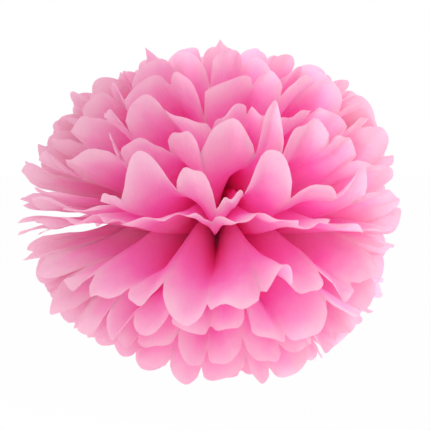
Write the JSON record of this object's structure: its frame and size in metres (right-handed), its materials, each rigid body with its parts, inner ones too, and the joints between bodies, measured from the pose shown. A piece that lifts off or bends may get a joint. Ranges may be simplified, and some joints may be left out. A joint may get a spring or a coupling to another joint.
{
  "type": "tissue paper pom-pom",
  "caption": "Round tissue-paper pom-pom of pleated, scalloped sheets pinched by a twisted wire and pulled open into a ball, hung from the wire's eye.",
  "frame": {"origin": "middle of the pinch under the tie wire, which is the middle of the ball", "axes": "+Z is the flower's axis, up to the hanging eye. The folded stack runs along Y, so each sheet has one fan to the front (-Y) and one to the back (+Y), and the two meet in the plane y = 0. -Y faces the viewer"},
  "size_m": [0.2486, 0.2492, 0.2208],
  "materials": {
    "tissue": "matt dyed tissue paper, thin enough for light to come through",
    "wire": "plain galvanised florist's wire"
  },
  "bodies": {
    "tie_wire": {"tie_wire": "wire"},
    "sheet_01_front_fan": {"sheet_01_front_fan": "tissue"},
    "sheet_01_back_fan": {"sheet_01_back_fan": "tissue"},
    "sheet_02_front_fan": {"sheet_02_front_fan": "tissue"},
    "sheet_02_back_fan": {"sheet_02_back_fan": "tissue"},
    "sheet_03_front_fan": {"sheet_03_front_fan": "tissue"},
    "sheet_03_back_fan": {"sheet_03_back_fan": "tissue"},
    "sheet_04_front_fan": {"sheet_04_front_fan": "tissue"},
    "sheet_04_back_fan": {"sheet_04_back_fan": "tissue"},
    "sheet_05_front_fan": {"sheet_05_front_fan": "tissue"},
    "sheet_05_back_fan": {"sheet_05_back_fan": "tissue"},
    "sheet_06_front_fan": {"sheet_06_front_fan": "tissue"},
    "sheet_06_back_fan": {"sheet_06_back_fan": "tissue"},
    "sheet_07_front_fan": {"sheet_07_front_fan": "tissue"},
    "sheet_07_back_fan": {"sheet_07_back_fan": "tissue"},
    "sheet_08_front_fan": {"sheet_08_front_fan": "tissue"},
    "sheet_08_back_fan": {"sheet_08_back_fan": "tissue"},
    "sheet_09_front_fan": {"sheet_09_front_fan": "tissue"},
    "sheet_09_back_fan": {"sheet_09_back_fan": "tissue"},
    "sheet_10_front_fan": {"sheet_10_front_fan": "tissue"},
    "sheet_10_back_fan": {"sheet_10_back_fan": "tissue"},
    "sheet_11_front_fan": {"sheet_11_front_fan": "tissue"},
    "sheet_11_back_fan": {"sheet_11_back_fan": "tissue"},
    "sheet_12_front_fan": {"sheet_12_front_fan": "tissue"},
    "sheet_12_back_fan": {"sheet_12_back_fan": "tissue"}
  },
  "joints": [
    {"name": "sheet_01_front_bend", "type": "hinge", "parent": "tie_wire", "child": "sheet_01_front_fan", "pos_m": [0, 0, 0.0088], "axis": [1, 0, 0], "range_deg": [0, 3]},
    {"name": "sheet_01_back_bend", "type": "hinge", "parent": "tie_wire", "child": "sheet_01_back_fan", "pos_m": [0, 0, 0.0088], "axis": [-1, 0, 0], "range_deg": [0, 3]},
    {"name": "sheet_02_front_bend", "type": "hinge", "parent": "tie_wire", "child": "sheet_02_front_fan", "pos_m": [0, 0, 0.0072], "axis": [1, 0, 0], "range_deg": [0, 6]},
    {"name": "sheet_02_back_bend", "type": "hinge", "parent": "tie_wire", "child": "sheet_02_back_fan", "pos_m": [0, 0, 0.0072], "axis": [-1, 0, 0], "range_deg": [0, 6]},
    {"name": "sheet_03_front_bend", "type": "hinge", "parent": "tie_wire", "child": "sheet_03_front_fan", "pos_m": [0, 0, 0.0056], "axis": [1, 0, 0], "range_deg": [0, 6]},
    {"name": "sheet_03_back_bend", "type": "hinge", "parent": "tie_wire", "child": "sheet_03_back_fan", "pos_m": [0, 0, 0.0056], "axis": [-1, 0, 0], "range_deg": [0, 6]},
    {"name": "sheet_04_front_bend", "type": "hinge", "parent": "tie_wire", "child": "sheet_04_front_fan", "pos_m": [0, 0, 0.004], "axis": [1, 0, 0], "range_deg": [0, 6]},
    {"name": "sheet_04_back_bend", "type": "hinge", "parent": "tie_wire", "child": "sheet_04_back_fan", "pos_m": [0, 0, 0.004], "axis": [-1, 0, 0], "range_deg": [0, 6]},
    {"name": "sheet_05_front_bend", "type": "hinge", "parent": "tie_wire", "child": "sheet_05_front_fan", "pos_m": [0, 0, 0.0024], "axis": [1, 0, 0], "range_deg": [0, 6]},
    {"name": "sheet_05_back_bend", "type": "hinge", "parent": "tie_wire", "child": "sheet_05_back_fan", "pos_m": [0, 0, 0.0024], "axis": [-1, 0, 0], "range_deg": [0, 6]},
    {"name": "sheet_06_front_bend", "type": "hinge", "parent": "tie_wire", "child": "sheet_06_front_fan", "pos_m": [0, 0, 0.0008], "axis": [-1, 0, 0], "range_deg": [0, 4]},
    {"name": "sheet_06_back_bend", "type": "hinge", "parent": "tie_wire", "child": "sheet_06_back_fan", "pos_m": [0, 0, 0.0008], "axis": [1, 0, 0], "range_deg": [0, 4]},
    {"name": "sheet_07_front_bend", "type": "hinge", "parent": "tie_wire", "child": "sheet_07_front_fan", "pos_m": [0, 0, -0.0008], "axis": [1, 0, 0], "range_deg": [0, 4]},
    {"name": "sheet_07_back_bend", "type": "hinge", "parent": "tie_wire", "child": "sheet_07_back_fan", "pos_m": [0, 0, -0.0008], "axis": [-1, 0, 0], "range_deg": [0, 4]},
    {"name": "sheet_08_front_bend", "type": "hinge", "parent": "tie_wire", "child": "sheet_08_front_fan", "pos_m": [0, 0, -0.0024], "axis": [-1, 0, 0], "range_deg": [0, 6]},
    {"name": "sheet_08_back_bend", "type": "hinge", "parent": "tie_wire", "child": "sheet_08_back_fan", "pos_m": [0, 0, -0.0024], "axis": [1, 0, 0], "range_deg": [0, 6]},
    {"name": "sheet_09_front_bend", "type": "hinge", "parent": "tie_wire", "child": "sheet_09_front_fan", "pos_m": [0, 0, -0.004], "axis": [-1, 0, 0], "range_deg": [0, 6]},
    {"name": "sheet_09_back_bend", "type": "hinge", "parent": "tie_wire", "child": "sheet_09_back_fan", "pos_m": [0, 0, -0.004], "axis": [1, 0, 0], "range_deg": [0, 6]},
    {"name": "sheet_10_front_bend", "type": "hinge", "parent": "tie_wire", "child": "sheet_10_front_fan", "pos_m": [0, 0, -0.0056], "axis": [-1, 0, 0], "range_deg": [0, 6]},
    {"name": "sheet_10_back_bend", "type": "hinge", "parent": "tie_wire", "child": "sheet_10_back_fan", "pos_m": [0, 0, -0.0056], "axis": [1, 0, 0], "range_deg": [0, 6]},
    {"name": "sheet_11_front_bend", "type": "hinge", "parent": "tie_wire", "child": "sheet_11_front_fan", "pos_m": [0, 0, -0.0072], "axis": [-1, 0, 0], "range_deg": [0, 6]},
    {"name": "sheet_11_back_bend", "type": "hinge", "parent": "tie_wire", "child": "sheet_11_back_fan", "pos_m": [0, 0, -0.0072], "axis": [1, 0, 0], "range_deg": [0, 6]},
    {"name": "sheet_12_front_bend", "type": "hinge", "parent": "tie_wire", "child": "sheet_12_front_fan", "pos_m": [0, 0, -0.0088], "axis": [-1, 0, 0], "range_deg": [0, 3]},
    {"name": "sheet_12_back_bend", "type": "hinge", "parent": "tie_wire", "child": "sheet_12_back_fan", "pos_m": [0, 0, -0.0088], "axis": [1, 0, 0], "range_deg": [0, 3]}
  ]
}
